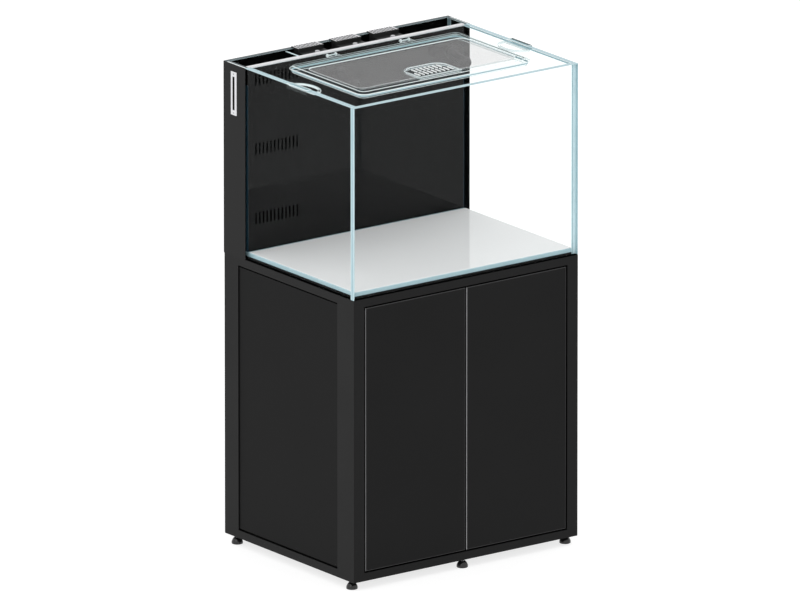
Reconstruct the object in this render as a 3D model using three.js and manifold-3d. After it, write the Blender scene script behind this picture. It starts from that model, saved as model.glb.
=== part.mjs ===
// Aquarium on a cabinet stand. Millimetres, +Z up, front towards -Y, floor at z = 0.
import * as THREE from "three";
import { mergeVertices } from "three/addons/utils/BufferGeometryUtils.js";
import Module from "manifold-3d";

const wasm = await Module();
wasm.setup();

// ---------- driving dimensions ----------
const tankWidth = 600;
const tankDepth = 470;
const tankHeight = 429;
const glass = 10;
const skin = 1;
const matThickness = 5;
const floorPanelThickness = 1;
const coverThickness = 4;
const chamberDepth = 72;
const partitionThickness = 8;
const standHeight = 632;
const footHeight = 20;
const railHeight = 18;
const railWidth = 28;
const frontPostDepth = 60;
const rearPostDepth = 50;
const boardThickness = 12;
const ledge = 10;
const doorGap = 3.5;
const doorThickness = 18;
const sideRecess = 2;
const clearance = 0.3;

// ---------- derived levels ----------
const half = tankWidth / 2;
const front = -(tankDepth + skin) / 2;
const back = front + tankDepth;
const frameBottom = footHeight;
const frameInnerBottom = frameBottom + railHeight;
const deckTop = footHeight + standHeight;
const frameInnerTop = deckTop - railHeight;
const rim = deckTop + tankHeight;
const bottomPaneLow = deckTop + matThickness;
const bottomPaneTop = bottomPaneLow + glass;
const floorTop = bottomPaneTop + floorPanelThickness;
const partitionFront = back - chamberDepth;
const partitionBack = partitionFront + partitionThickness;
const chamberBack = back - glass;
const chamberMiddle = (partitionBack + chamberBack) / 2;
const coverLow = rim - coverThickness;
const doorWidth = (tankWidth - 2 * railWidth - 3 * doorGap) / 2;
const pivotInset = 10;
const pivotX = half - railWidth - doorGap - pivotInset;
const pivotY = front + 7;

// ---------- colours ----------
const steelBlack = 0x1b1b1c;
const boardBlack = 0x161616;
const doorBlack = 0x191919;
const glossBlack = 0x101012;
const clearGlass = 0xcfe6e6;
const clearPlastic = 0xe4ebec;
const white = 0xf0f0f0;
const greyPlastic = 0x9a9c9e;
const media = 0x3c3f42;

// ---------- solids ----------
function solid(geometry) {
  const plain = geometry.index ? geometry.toNonIndexed() : geometry;
  plain.deleteAttribute("normal");
  plain.deleteAttribute("uv");
  const merged = mergeVertices(plain, 1e-4);
  return new wasm.Manifold(
    new wasm.Mesh({
      numProp: 3,
      vertProperties: merged.attributes.position.array,
      triVerts: new Uint32Array(merged.index.array),
    }),
  );
}

function box(x0, x1, y0, y1, z0, z1) {
  const geometry = new THREE.BoxGeometry(x1 - x0, y1 - y0, z1 - z0);
  geometry.translate((x0 + x1) / 2, (y0 + y1) / 2, (z0 + z1) / 2);
  return solid(geometry);
}

function rodZ(x, y, z0, z1, radius, sides = 24) {
  const geometry = new THREE.CylinderGeometry(radius, radius, z1 - z0, sides);
  geometry.rotateX(Math.PI / 2);
  geometry.translate(x, y, (z0 + z1) / 2);
  return solid(geometry);
}

function rodX(x0, x1, y, z, radius, sides = 24) {
  const geometry = new THREE.CylinderGeometry(radius, radius, x1 - x0, sides);
  geometry.rotateZ(Math.PI / 2);
  geometry.translate((x0 + x1) / 2, y, z);
  return solid(geometry);
}

function rodY(x, y0, y1, z, radius, sides = 24) {
  const geometry = new THREE.CylinderGeometry(radius, radius, y1 - y0, sides);
  geometry.translate(x, (y0 + y1) / 2, z);
  return solid(geometry);
}

function prism(shape, z0, z1, curveSegments = 6) {
  const geometry = new THREE.ExtrudeGeometry(shape, {
    depth: z1 - z0,
    bevelEnabled: false,
    curveSegments,
  });
  geometry.translate(0, 0, z0);
  return solid(geometry);
}

function roundedRect(x0, x1, y0, y1, r) {
  const shape = new THREE.Shape();
  shape.moveTo(x0 + r, y0);
  shape.lineTo(x1 - r, y0);
  shape.absarc(x1 - r, y0 + r, r, -Math.PI / 2, 0, false);
  shape.lineTo(x1, y1 - r);
  shape.absarc(x1 - r, y1 - r, r, 0, Math.PI / 2, false);
  shape.lineTo(x0 + r, y1);
  shape.absarc(x0 + r, y1 - r, r, Math.PI / 2, Math.PI, false);
  shape.lineTo(x0, y0 + r);
  shape.absarc(x0 + r, y0 + r, r, Math.PI, Math.PI * 1.5, false);
  return shape;
}

function roundedSlab(x0, x1, y0, y1, z0, z1, r) {
  return prism(roundedRect(x0, x1, y0, y1, r), z0, z1);
}

// A box with every edge cut back by c.
function chamferedBox(x0, x1, y0, y1, z0, z1, c) {
  const shape = new THREE.Shape();
  shape.moveTo(x0 + 2 * c, y0 + c);
  shape.lineTo(x1 - 2 * c, y0 + c);
  shape.lineTo(x1 - c, y0 + 2 * c);
  shape.lineTo(x1 - c, y1 - 2 * c);
  shape.lineTo(x1 - 2 * c, y1 - c);
  shape.lineTo(x0 + 2 * c, y1 - c);
  shape.lineTo(x0 + c, y1 - 2 * c);
  shape.lineTo(x0 + c, y0 + 2 * c);
  const geometry = new THREE.ExtrudeGeometry(shape, {
    depth: z1 - z0 - 2 * c,
    bevelEnabled: true,
    bevelThickness: c,
    bevelSize: c,
    bevelSegments: 1,
  });
  geometry.translate(0, 0, z0 + c);
  return solid(geometry);
}

// A solid of revolution about a vertical axis. The profile starts and ends on the axis.
function turned(x, y, profile, sides = 28) {
  const points = profile.map(([r, z]) => new THREE.Vector2(r, z));
  const geometry = new THREE.LatheGeometry(points, sides);
  geometry.rotateX(Math.PI / 2);
  geometry.translate(x, y, 0);
  return solid(geometry);
}

// ---------- assembly ----------
const aquarium = new THREE.Group();
aquarium.name = "aquarium_on_stand";

function add(name, shape, color, roughness = 0.5, opacity = 1) {
  const made = shape.getMesh();
  const geometry = new THREE.BufferGeometry();
  geometry.setAttribute("position", new THREE.BufferAttribute(made.vertProperties, 3));
  geometry.setIndex(new THREE.BufferAttribute(made.triVerts, 1));
  const flat = geometry.toNonIndexed();
  flat.computeVertexNormals();
  const material = new THREE.MeshStandardMaterial({
    color,
    roughness,
    opacity,
    transparent: opacity < 1,
  });
  const mesh = new THREE.Mesh(flat, material);
  mesh.name = name;
  aquarium.add(mesh);
}

// ---------- stand ----------
function addPosts() {
  for (const [side, sign] of [["left", -1], ["right", 1]]) {
    const x0 = sign < 0 ? -half : half - railWidth;
    const x1 = x0 + railWidth;
    const low = frameInnerBottom;
    const high = frameInnerTop;
    add(`post_front_${side}`, box(x0, x1, front, front + frontPostDepth, low, high), steelBlack);
    add(`post_rear_${side}`, box(x0, x1, back - rearPostDepth, back, low, high), steelBlack);
  }
}

// A rectangular ring of rails with a ledge round the inside that carries a board flush with the top.
function ringWithLedge(low) {
  const high = low + railHeight;
  const outer = box(-half, half, front, back, low, high);
  const innerX = half - railWidth;
  const innerFront = front + railWidth;
  const innerBack = back - railWidth;
  const seat = box(-innerX, innerX, innerFront, innerBack, high - boardThickness, high + 1);
  const through = box(
    -innerX + ledge,
    innerX - ledge,
    innerFront + ledge,
    innerBack - ledge,
    low - 1,
    high + 1,
  );
  return outer.subtract(seat).subtract(through);
}

function ringBoard(high) {
  const x = half - railWidth - clearance;
  const y0 = front + railWidth + clearance;
  const y1 = back - railWidth - clearance;
  return box(-x, x, y0, y1, high - boardThickness, high);
}

const footPlaces = {
  front_left: [-half + 14, front + 26],
  front_centre: [0, front + 13.5],
  front_right: [half - 14, front + 26],
  rear_left: [-half + 14, back - 26],
  rear_centre: [0, back - 13.5],
  rear_right: [half - 14, back - 26],
};
const stemRadius = 4;
const stemTop = frameBottom + 15.5;
const footHoleTop = frameBottom + 16;

function addFrames() {
  let base = ringWithLedge(frameBottom);
  for (const [x, y] of Object.values(footPlaces)) {
    base = base.subtract(rodZ(x, y, frameBottom - 1, footHoleTop, stemRadius + clearance, 20));
  }
  let top = ringWithLedge(frameInnerTop);
  for (const sign of [-1, 1]) {
    const x = sign * pivotX;
    base = base.subtract(rodZ(x, pivotY, frameInnerBottom - 9, frameInnerBottom + 1, 2.6, 16));
    top = top.subtract(rodZ(x, pivotY, frameInnerTop - 1, frameInnerTop + 9, 2.6, 16));
  }
  add("base_frame", base, steelBlack);
  add("top_frame", top, steelBlack);
}

function addFeet() {
  for (const [place, [x, y]] of Object.entries(footPlaces)) {
    const foot = turned(x, y, [
      [0, 0],
      [11.5, 0],
      [12.5, 1.2],
      [12.5, 4.5],
      [11, 6.5],
      [7, 10],
      [6.2, 13.5],
      [stemRadius, 14.2],
      [stemRadius, stemTop - 1],
      [stemRadius - 1, stemTop],
      [0, stemTop],
    ]);
    add(`foot_${place}`, foot, glossBlack);
  }
}

function addBoards() {
  add("cabinet_floor", ringBoard(frameInnerBottom), boardBlack);
  add("deck_board", ringBoard(deckTop), boardBlack);
}

// A raised field with a narrow groove above and below it, where a shadow line shows.
function sidePanel(sign) {
  const y0 = front + frontPostDepth + 0.2;
  const y1 = back - rearPostDepth - 0.2;
  const z0 = frameInnerBottom + 0.2;
  const z1 = frameInnerTop - 0.2;
  const border = doorGap;
  const face = half - sideRecess;
  const step = face - 6;
  const rear = step - 5;
  const [fieldLow, fieldHigh] = sign > 0 ? [step - 0.5, face] : [-face, -step + 0.5];
  const [flangeLow, flangeHigh] = sign > 0 ? [rear, step] : [-step, -rear];
  const field = box(fieldLow, fieldHigh, y0, y1, z0 + border, z1 - border);
  const flange = box(flangeLow, flangeHigh, y0, y1, z0, z1);
  return field.add(flange);
}

function addPanels() {
  add("side_panel_left", sidePanel(-1), boardBlack);
  add("side_panel_right", sidePanel(1), boardBlack);
  const x = half - railWidth - 0.2;
  const z0 = frameInnerBottom + 0.2;
  const z1 = frameInnerTop - 0.2;
  add("back_panel", box(-x, x, back - 14, back - 5, z0, z1), boardBlack);
}

const doorLow = frameInnerBottom + doorGap;
const doorHigh = frameInnerTop - doorGap;

function door(sign) {
  const outer = half - railWidth - doorGap;
  const inner = doorGap / 2;
  const [x0, x1] = sign > 0 ? [inner, outer] : [-outer, -inner];
  const leaf = chamferedBox(x0, x1, front, front + doorThickness, doorLow, doorHigh, 1.2);
  const socketDepth = 10;
  const radius = 2.8;
  const lower = rodZ(sign * pivotX, pivotY, doorLow - 1, doorLow + socketDepth, radius, 16);
  const upper = rodZ(sign * pivotX, pivotY, doorHigh - socketDepth, doorHigh + 1, radius, 16);
  return leaf.subtract(lower).subtract(upper);
}

function doorPin(sign, end) {
  const shoulder = end > 0 ? frameInnerTop : frameInnerBottom;
  const collarEdge = shoulder - end * (doorGap - clearance);
  const profile = [
    [0, shoulder + end * 8.5],
    [2.5, shoulder + end * 8.5],
    [2.5, shoulder],
    [4.5, shoulder],
    [4.5, collarEdge],
    [2.5, collarEdge],
    [2.5, collarEdge - end * 9],
    [0, collarEdge - end * 9],
  ];
  if (end > 0) profile.reverse();
  return turned(sign * pivotX, pivotY, profile, 16);
}

// A spring-loaded catch behind the meeting edge of each door, under the top rail.
function latch(sign) {
  const x = sign * 26;
  const y0 = front + doorThickness;
  const body = box(x - 9, x + 9, y0 + 6, y0 + 52, frameInnerTop - 15, frameInnerTop);
  const plunger = rodY(x, y0 + 0.5, y0 + 8, frameInnerTop - 8, 4, 16);
  return body.add(plunger);
}

function addDoors() {
  for (const [side, sign] of [["left", -1], ["right", 1]]) {
    add(`door_${side}`, door(sign), doorBlack, 0.35);
    add(`door_pin_${side}_top`, doorPin(sign, 1), greyPlastic);
    add(`door_pin_${side}_bottom`, doorPin(sign, -1), greyPlastic);
    add(`door_latch_${side}`, latch(sign), greyPlastic);
  }
}

// ---------- tank ----------
function addPanes() {
  const inner = half - glass;
  const y0 = front + glass;
  const y1 = back - glass;
  add("tank_mat", box(-inner, inner, y0, y1, deckTop, bottomPaneLow), boardBlack, 0.9);
  add("pane_bottom", box(-inner, inner, y0, y1, bottomPaneLow, bottomPaneTop), clearGlass, 0.05, 0.35);
  add("pane_front", box(-half, half, front, y0, deckTop, rim), clearGlass, 0.05, 0.25);
  add("pane_back", box(-half, half, y1, back, deckTop, rim), clearGlass, 0.05, 0.25);
  add("pane_left", box(-half, -inner, y0, y1, deckTop, rim), clearGlass, 0.05, 0.25);
  add("pane_right", box(inner, half, y0, y1, deckTop, rim), clearGlass, 0.05, 0.25);
  const edge = inner - 0.5;
  const panel = box(-edge, edge, y0 + 0.5, partitionFront - 6, bottomPaneTop, floorTop);
  add("floor_panel", panel, white, 0.15);
}

// ---------- rear chamber ----------
const nozzleDrop = 55;
const nozzleLevel = rim - nozzleDrop;
const nozzleX = { left: -47, right: 251 };
const pipeRadius = 8;
const pipeBore = 6;
const pipeStub = 4.5;
const branchLevel = 752;
const comb = { first: 30, pitch: 10, slots: 12, width: 4, height: 26, lows: [57.5, 212.5, 367.5] };

function partition() {
  const edge = half - glass - 0.2;
  let wall = box(-edge, edge, partitionFront, partitionBack, bottomPaneTop, coverLow);
  for (const low of comb.lows) {
    for (let i = 0; i < comb.slots; i += 1) {
      const x = -half + comb.first + i * comb.pitch;
      const z = floorTop + low;
      const slot = box(x, x + comb.width, partitionFront - 1, partitionBack + 1, z, z + comb.height);
      wall = wall.subtract(slot);
    }
  }
  for (const x of Object.values(nozzleX)) {
    const hole = rodY(x, partitionFront - 1, partitionBack + 1, nozzleLevel, pipeRadius + clearance);
    wall = wall.subtract(hole);
  }
  return wall;
}

function addDividers() {
  const y0 = partitionBack + 0.2;
  const y1 = chamberBack - 0.2;
  for (const [side, x, high] of [["left", -142.5, rim - 4], ["right", 163, rim - 20]]) {
    let wall = box(x, x + 5, y0, y1, bottomPaneTop, high);
    wall = wall.subtract(box(x - 1, x + 6, y0 + 8, y1 - 8, bottomPaneTop - 1, bottomPaneTop + 40));
    if (side === "right") {
      wall = wall.subtract(rodX(x - 1, x + 6, chamberMiddle, branchLevel, pipeRadius + 1));
    }
    const clear = side === "left";
    add(`divider_${side}`, wall, clear ? clearGlass : glossBlack, 0.3, clear ? 0.35 : 1);
  }
}

const sight = { rear: 26.5, front: 47, drop: 16.5, height: 97, slotWidth: 8, slotHeight: 75 };

function addSkins() {
  const depth = 77.5;
  const y0 = back - depth;
  const bezelY0 = back - sight.front;
  const bezelY1 = back - sight.rear;
  const bezelTop = rim - sight.drop;
  const bezelLow = bezelTop - sight.height;
  const window = box(
    -half - 5,
    -half + 1,
    bezelY0 - clearance,
    bezelY1 + clearance,
    bezelLow - clearance,
    bezelTop + clearance,
  );
  add("skin_left", box(-half - skin, -half, y0, back, deckTop, rim).subtract(window), glossBlack, 0.4);
  add("skin_right", box(half, half + skin, y0, back, deckTop, rim), glossBlack, 0.4);
  add("skin_back", box(-half - skin, half + skin, back, back + skin, deckTop, rim), glossBlack, 0.4);
  const middleY = (bezelY0 + bezelY1) / 2;
  const middleZ = (bezelLow + bezelTop) / 2;
  const w = sight.slotWidth / 2;
  const h = sight.slotHeight / 2;
  const frame = chamferedBox(-half - 2, -half, bezelY0, bezelY1, bezelLow, bezelTop, 0.4);
  const slot = box(-half - 3, -half + 1, middleY - w, middleY + w, middleZ - h, middleZ + h);
  add("sight_bezel", frame.subtract(slot), white, 0.3);
  const lens = box(
    -half - 1.2,
    -half,
    middleY - w + 0.1,
    middleY + w - 0.1,
    middleZ - h + 0.1,
    middleZ + h - 0.1,
  );
  add("sight_lens", lens, glossBlack, 0.1);
}

// A tall basket, open towards the partition. A slotted plate behind hooks it over the back pane.
const basketLefts = { left: -123, middle: -22, right: 79 };
const basketWidth = 66;
const basketTop = rim - 6;
const basketFloor = 772;
const basketWall = 2;
const hookFront = chamberMiddle + 6.5;
const hookBack = chamberBack + 7;
const basketSlots = 9;
const basketSlotPitch = 6.6;
const basketSlotWidth = 3.6;

function basket(x0) {
  const x1 = x0 + basketWidth;
  const y0 = partitionBack + 2.5;
  const y1 = chamberBack - 1.5;
  const body = box(x0, x1, y0, y1, basketFloor, basketTop);
  const neck = box(x0, x1, hookFront, y1, basketTop - 1, rim + 1);
  const plate = box(x0, x1, hookFront, hookBack, rim + 0.2, rim + 2.2);
  const inside = box(
    x0 + basketWall,
    x1 - basketWall,
    y0 - 1,
    y1 - basketWall,
    basketFloor + 3,
    basketTop - 3,
  );
  let shell = body.subtract(inside).add(neck).add(plate);
  for (let i = 0; i < basketSlots; i += 1) {
    const x = x0 + 4.8 + i * basketSlotPitch;
    const slot = box(x, x + basketSlotWidth, hookFront + 3, hookBack - 2.5, basketTop - 4, rim + 3);
    shell = shell.subtract(slot);
  }
  for (let i = 0; i < 5; i += 1) {
    const x = x0 + 5 + i * 12;
    shell = shell.subtract(box(x, x + 8, y0 + 6, y1 - 6, basketFloor - 1, basketFloor + 4));
  }
  const knob = rodZ(x0 + basketWidth / 2, y0 + 8, basketTop - 1, basketTop + 5, 5, 20);
  return shell.add(knob);
}

function addBaskets() {
  for (const [side, x0] of Object.entries(basketLefts)) {
    add(`media_basket_${side}`, basket(x0), glossBlack, 0.4);
    const block = box(
      x0 + basketWall + clearance,
      x0 + basketWidth - basketWall - clearance,
      partitionBack + 2.5,
      chamberBack - 1.5 - basketWall - clearance,
      basketFloor + 3,
      basketTop - 6,
    );
    add(`media_block_${side}`, block, media, 0.95);
  }
}

const pump = { x0: 219, x1: 283, top: 726 };

function addPump() {
  const y0 = partitionBack + 4;
  const y1 = chamberBack - 4;
  const z = bottomPaneTop + 24;
  const x = nozzleX.right;
  let body = chamferedBox(pump.x0, pump.x1, y0, y1, bottomPaneTop, pump.top, 2);
  body = body.add(rodZ(x, chamberMiddle, pump.top - 2, pump.top + 10, 11));
  body = body.add(rodX(pump.x1 - 3, pump.x1 + 3, chamberMiddle, pump.top - 12, 4, 16));
  body = body.subtract(rodX(pump.x0 - 1, pump.x0 + 8, chamberMiddle, z, 9));
  body = body.subtract(rodX(pump.x0 + 4, pump.x0 + 24, chamberMiddle, z, 17));
  const volute = box(
    pump.x0 + 8,
    x + 4,
    chamberMiddle - 4,
    chamberMiddle + 4,
    z,
    bottomPaneTop + 44,
  );
  body = body.subtract(volute);
  body = body.subtract(rodZ(x, chamberMiddle, bottomPaneTop + 40, pump.top + 11, pipeBore - 1));
  body = body.subtract(rodZ(x, chamberMiddle, pump.top, pump.top + 11, pipeRadius + 0.1));
  add("pump_body", body, glossBlack, 0.45);
  let impeller = rodX(pump.x0 + 8, pump.x0 + 20, chamberMiddle, z, 5, 20);
  for (let i = 0; i < 6; i += 1) {
    const blade = new THREE.BoxGeometry(11, 2, 11);
    blade.translate(pump.x0 + 14, 0, 9);
    blade.rotateX((i * Math.PI) / 3);
    blade.translate(0, chamberMiddle, z);
    impeller = impeller.add(solid(blade));
  }
  add("pump_impeller", impeller, white, 0.5);
}

// One riser behind each nozzle, joined by a branch that runs under the baskets.
function returnPipe() {
  const y = chamberMiddle;
  const { left, right } = nozzleX;
  const top = nozzleLevel;
  let outer = rodZ(right, y, pump.top + 0.5, top, pipeRadius);
  outer = outer.add(rodZ(left, y, branchLevel, top, pipeRadius));
  outer = outer.add(rodX(left, right, y, branchLevel, pipeRadius));
  let bore = rodZ(right, y, pump.top - 1, top, pipeBore);
  bore = bore.add(rodZ(left, y, branchLevel, top, pipeBore));
  bore = bore.add(rodX(left, right, y, branchLevel, pipeBore));
  for (const x of [left, right]) {
    const elbow = new THREE.SphereGeometry(pipeRadius, 24, 16);
    elbow.translate(x, y, top);
    outer = outer.add(solid(elbow));
    outer = outer.add(rodY(x, partitionFront - pipeStub, y, top, pipeRadius));
    bore = bore.add(rodY(x, partitionFront - pipeStub - 1, y, top, pipeBore));
  }
  const corner = new THREE.SphereGeometry(pipeRadius, 24, 16);
  corner.translate(left, y, branchLevel);
  outer = outer.add(solid(corner));
  return outer.subtract(bore);
}

// A ring pushed over the pipe stub, then a sloping neck that ends in a ball with an open mouth.
const ballReach = 57;
const ballDrop = 12.5;
const ballRadius = 13;
const neckRadius = 9;
const mouthRadius = 8.5;

function slopingRod(x, start, end, radius) {
  const slope = Math.atan2(ballDrop, ballReach);
  const geometry = new THREE.CylinderGeometry(radius, radius, end - start, 28);
  geometry.translate(0, -(start + end) / 2, 0);
  geometry.rotateX(slope);
  geometry.translate(x, partitionFront, nozzleLevel);
  return solid(geometry);
}

function nozzle(x) {
  const y = partitionFront;
  const reach = Math.hypot(ballReach, ballDrop);
  let shape = rodY(x, y - 8, y - clearance, nozzleLevel, 13, 32);
  shape = shape.add(slopingRod(x, 4, reach, neckRadius));
  const ball = new THREE.SphereGeometry(ballRadius, 28, 18);
  ball.translate(x, y - ballReach, nozzleLevel - ballDrop);
  shape = shape.add(solid(ball));
  shape = shape.subtract(slopingRod(x, 4, reach + 1, neckRadius - 2.5));
  shape = shape.subtract(slopingRod(x, reach, reach + ballRadius + 2, mouthRadius));
  return shape.subtract(rodY(x, y - pipeStub - 0.5, y + 1, nozzleLevel, pipeRadius + clearance, 28));
}

function addPipes() {
  add("return_pipe", returnPipe(), glossBlack, 0.4);
  add("nozzle_left", nozzle(nozzleX.left), glossBlack, 0.35);
  add("nozzle_right", nozzle(nozzleX.right), glossBlack, 0.35);
}

// ---------- cover ----------
const railOverhang = 3;
const hatchHalf = 230;
const hatchFront = front + 65.5;
const hatchBack = back - 128.5;
const hatchCorner = 20;
const hatchLip = 6;
const hatchSink = 7.5;
const hatchTop = rim + 7.5;
const frameSide = 22;
const frameFront = 34;
const frameRear = 49;
const shell = 2.5;
const hingeX = 98;
const hingeY = hatchBack + 13;
const hingeZ = rim + 5;
const coverHalf = half - glass - 3;

function coverPlate() {
  const rear = partitionFront - railOverhang - clearance;
  const plate = box(-coverHalf, coverHalf, front + glass + 1, rear, coverLow, rim);
  const inset = hatchLip - 1.2;
  const opening = roundedSlab(
    -hatchHalf + inset,
    hatchHalf - inset,
    hatchFront + inset,
    hatchBack - inset,
    coverLow - 1,
    rim + 1,
    hatchCorner - inset,
  );
  return plate.subtract(opening);
}

const clipMiddle = front + 204.5;
const clipHalf = 46;
const clipTip = half - 49;

function clip(sign) {
  const barHalf = 36;
  const wallOuter = half - glass - 0.3;
  const wallInner = wallOuter - 2;
  const high = rim + 2.2;
  const y0 = clipMiddle - barHalf;
  const y1 = clipMiddle + barHalf;
  const span = (a, b) => (sign > 0 ? [a, b] : [-b, -a]);
  const [bar0, bar1] = span(half + 0.2, half + 2.2);
  const [web0, web1] = span(wallInner, half + 2.2);
  const [wall0, wall1] = span(wallInner, wallOuter);
  let made = box(bar0, bar1, y0, y1, rim - 9, high);
  made = made.add(box(web0, web1, y0, y1, rim + 0.2, high));
  made = made.add(box(wall0, wall1, y0, y1, coverLow - 4.2, high));
  const reach = wallOuter - clipTip;
  const inward = -sign;
  const start = sign * (wallOuter - 1);
  const loop = prism(dShape(start, inward, reach - 1, clipHalf), coverLow - 4.2, coverLow - 0.2);
  const holeStart = start + inward * 5;
  const hole = prism(dShape(holeStart, inward, reach - 12, clipHalf - 8), coverLow - 6, coverLow + 1);
  return made.add(loop.subtract(hole));
}

// Half of a stretched ellipse with its straight side at x.
function dShape(x, direction, reach, halfLength) {
  const shape = new THREE.Shape();
  const steps = 24;
  for (let i = 0; i <= steps; i += 1) {
    const angle = -Math.PI / 2 + (i * Math.PI) / steps;
    const bulge = Math.pow(Math.abs(Math.cos(angle)), 0.75);
    const px = i === 0 || i === steps ? x : x + direction * reach * bulge;
    const py = clipMiddle + halfLength * Math.sin(angle);
    if (i === 0) shape.moveTo(px, py);
    else shape.lineTo(px, py);
  }
  return shape;
}

// A moulded tray: outer lip on the plate, raised channel all round, thin panel sunk in the middle.
function hatchLid() {
  const x = hatchHalf;
  const lip = roundedSlab(-x, x, hatchFront, hatchBack, rim + 0.3, rim + 2.8, hatchCorner);
  const s = hatchLip;
  const skirt = roundedSlab(
    -x + s,
    x - s,
    hatchFront + s,
    hatchBack - s,
    rim - hatchSink,
    hatchTop,
    hatchCorner - s,
  );
  const under = roundedSlab(
    -x + s + shell,
    x - s - shell,
    hatchFront + s + shell,
    hatchBack - s - shell,
    rim - hatchSink - 1,
    hatchTop - shell,
    hatchCorner - s - shell,
  );
  const panelX = x - frameSide;
  const panelFront = hatchFront + frameFront;
  const panelBack = hatchBack - frameRear;
  const panelHigh = hatchTop - 3;
  const panelLow = panelHigh - shell;
  const well = roundedSlab(-panelX, panelX, panelFront, panelBack, panelHigh, hatchTop + 1, 14);
  const pan = roundedSlab(
    -panelX - shell,
    panelX + shell,
    panelFront - shell,
    panelBack + shell,
    panelLow,
    hatchTop,
    14 + shell,
  );
  let made = lip.add(skirt).subtract(under).add(pan).subtract(well);
  const bezel = prism(flapOutline(flapBezel), panelLow, hatchTop);
  const opening = prism(flapOutline(0), panelLow - 5, hatchTop + 5);
  made = made.add(bezel).subtract(opening);
  for (const sign of [-1, 1]) {
    const x0 = sign * hingeX;
    for (const arm of [-1, 1]) {
      const a0 = x0 + arm * 11 - 1.5;
      const bar = box(a0, a0 + 3, hatchBack - s - 3, hingeY, rim + 2, hingeZ + 2.2);
      made = made.add(bar).add(rodX(a0, a0 + 3, hingeY, hingeZ, 4, 20));
    }
    made = made.add(rodX(x0 - 10, x0 + 10, hingeY, hingeZ, 1.5, 12));
  }
  const sockets = rodX(-flap.half - 2, flap.half + 2, flapHingeY, flapHingeZ, 1.7, 12);
  return made.subtract(sockets);
}

// The D-shaped feed opening, its raised bezel and the ribbed flap that closes it.
const flap = { half: 51, depth: 70, corner: 26 };
const flapBezel = 5;
const flapFront = hatchFront + frameFront - 4;
const flapHingeY = flapFront + 3;
const flapHingeZ = hatchTop - 2.6;

function flapOutline(grow) {
  const y0 = flapFront - grow;
  const y1 = y0 + flap.depth + 2 * grow;
  const x = flap.half + grow;
  const r = flap.corner + grow;
  const shape = new THREE.Shape();
  shape.moveTo(-x, y0);
  shape.lineTo(x, y0);
  shape.lineTo(x, y1 - r);
  shape.absarc(x - r, y1 - r, r, 0, Math.PI / 2, false);
  shape.lineTo(-x + r, y1);
  shape.absarc(-x + r, y1 - r, r, Math.PI / 2, Math.PI, false);
  return shape;
}

function feedFlap() {
  const low = flapHingeZ - 1.2;
  const high = flapHingeZ + 0.8;
  let made = prism(flapOutline(-0.5), low, high);
  for (let row = 0; row < 2; row += 1) {
    for (let i = 0; i < 8; i += 1) {
      const x = -38.5 + i * 11;
      const y = flapHingeY + 9 + row * 26;
      if (row === 1 && (i === 0 || i === 7)) continue;
      made = made.subtract(roundedSlab(x - 2.2, x + 2.2, y, y + 20, low - 1, high + 1, 2.1));
    }
  }
  for (let i = 0; i < 9; i += 1) {
    const x = -44 + i * 11;
    const length = i === 0 || i === 8 ? 24 : 47;
    made = made.add(box(x - 1, x + 1, flapHingeY + 8, flapHingeY + 8 + length, high - 0.5, high + 1.6));
  }
  made = made.add(rodX(-flap.half + 0.5, flap.half - 0.5, flapHingeY, flapHingeZ, 2.2, 16));
  return made.add(rodX(-flap.half - 1.6, flap.half + 1.6, flapHingeY, flapHingeZ, 1.4, 12));
}

function hingeBracket(sign) {
  const x = sign * hingeX;
  const w = 8.6;
  const foot = box(x - w, x + w, hingeY - 3, hingeY + 16, rim, rim + 2);
  const web = box(x - w, x + w, hingeY - 3, hingeY + 3, rim, hingeZ);
  const barrel = rodX(x - w, x + w, hingeY, hingeZ, 4, 20);
  return foot.add(web).add(barrel).subtract(rodX(x - w - 1, x + w + 1, hingeY, hingeZ, 1.8, 12));
}

function addCover() {
  const railY0 = partitionFront - railOverhang;
  const edge = half - glass - 0.5;
  add("rear_rail", box(-edge, edge, railY0, partitionBack, coverLow, rim), white, 0.3);
  add("cover_plate", coverPlate(), clearGlass, 0.05, 0.25);
  add("clip_left", clip(-1), clearPlastic, 0.1, 0.4);
  add("clip_right", clip(1), clearPlastic, 0.1, 0.4);
  add("hatch_lid", hatchLid(), clearPlastic, 0.1, 0.4);
  add("hinge_bracket_left", hingeBracket(-1), clearPlastic, 0.1, 0.4);
  add("hinge_bracket_right", hingeBracket(1), clearPlastic, 0.1, 0.4);
  add("feed_flap", feedFlap(), clearPlastic, 0.1, 0.4);
}

addPosts();
addFrames();
addBoards();
addPanels();
addDoors();
addFeet();
addPanes();
add("partition", partition(), glossBlack, 0.1);
addDividers();
addSkins();
addBaskets();
addPump();
addPipes();
addCover();

export default aquarium;
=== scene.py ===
# An aquarium on a cabinet stand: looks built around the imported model. Metres, +Z up, front towards -Y.
import math

import bmesh
import bpy
from mathutils import Matrix, Vector


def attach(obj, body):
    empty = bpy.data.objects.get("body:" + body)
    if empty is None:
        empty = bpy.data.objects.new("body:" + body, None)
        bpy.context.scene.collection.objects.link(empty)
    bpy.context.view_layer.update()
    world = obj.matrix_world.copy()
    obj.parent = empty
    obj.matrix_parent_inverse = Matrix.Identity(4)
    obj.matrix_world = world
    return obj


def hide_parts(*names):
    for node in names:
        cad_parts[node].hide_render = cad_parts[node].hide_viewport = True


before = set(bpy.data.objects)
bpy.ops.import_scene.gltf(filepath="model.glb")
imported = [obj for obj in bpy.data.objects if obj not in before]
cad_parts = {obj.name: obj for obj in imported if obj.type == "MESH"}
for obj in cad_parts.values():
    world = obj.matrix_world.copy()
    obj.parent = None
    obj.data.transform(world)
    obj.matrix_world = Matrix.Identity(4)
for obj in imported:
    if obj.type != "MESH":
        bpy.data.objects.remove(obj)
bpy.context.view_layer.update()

MM = 0.001

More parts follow.
